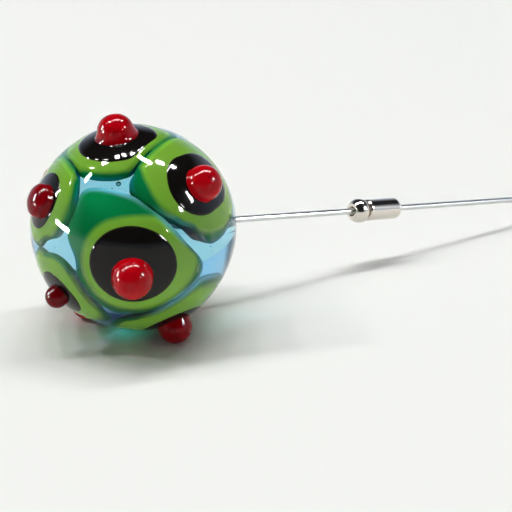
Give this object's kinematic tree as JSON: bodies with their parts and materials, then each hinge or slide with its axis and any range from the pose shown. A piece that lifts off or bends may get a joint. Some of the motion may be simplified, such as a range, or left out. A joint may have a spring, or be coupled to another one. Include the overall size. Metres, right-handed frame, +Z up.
{
  "type": "glass-headed stick pin",
  "caption": "Stick pin with a bumpy flame-worked glass ball for a head, a pointed steel wire and a bullet clutch that slides on the wire to keep it in cloth.",
  "frame": {"origin": "on the table, straight below the centre of the glass ball as it stands on three of its bumps", "axes": "+Z up from the table, +X along the pin's run over the table, from the ball to the point"},
  "size_m": [0.0872, 0.0252, 0.0257],
  "materials": {
    "teal_glass": "fire-polished clear glass",
    "green_glass": "fire-polished opaque glass",
    "black_glass": "fire-polished opaque glass",
    "red_glass": "fire-polished opaque glass",
    "clear_glue": "cured epoxy",
    "steel_wire": "drawn bright",
    "nickel_plate": "bright nickel plate",
    "grip_rubber": "moulded"
  },
  "bodies": {
    "pin": {"pin_wire": "steel_wire", "wire_glue": "clear_glue", "glass_ball": "teal_glass", "green_dot_top": "green_glass", "green_dot_right": "green_glass", "green_dot_front": "green_glass", "green_dot_left": "green_glass", "green_dot_low_left": "green_glass", "green_dot_front_foot": "green_glass", "green_dot_back_foot": "green_glass", "green_dot_pin_foot": "green_glass", "green_dot_back_left": "green_glass", "green_dot_back_top": "green_glass", "green_dot_back": "green_glass", "black_dot_top": "black_glass", "black_dot_right": "black_glass", "black_dot_front": "black_glass", "black_dot_left": "black_glass", "black_dot_low_left": "black_glass", "black_dot_front_foot": "black_glass", "black_dot_back_foot": "black_glass", "black_dot_pin_foot": "black_glass", "black_dot_back_left": "black_glass", "black_dot_back_top": "black_glass", "black_dot_back": "black_glass", "red_bump_top": "red_glass", "red_bump_right": "red_glass", "red_bump_front": "red_glass", "red_bump_left": "red_glass", "red_bump_low_left": "red_glass", "red_bump_front_foot": "red_glass", "red_bump_back_foot": "red_glass", "red_bump_pin_foot": "red_glass", "red_bump_back_left": "red_glass", "red_bump_back_top": "red_glass", "red_bump_back": "red_glass"},
    "clutch": {"clutch_nose": "nickel_plate", "clutch_barrel": "nickel_plate", "clutch_grip": "grip_rubber"}
  },
  "joints": [
    {"name": "clutch_slide", "type": "slide", "parent": "pin", "child": "clutch", "axis": [0.9925, 0, -0.1219], "range_m": [-0.0205, 0.0432]}
  ]
}
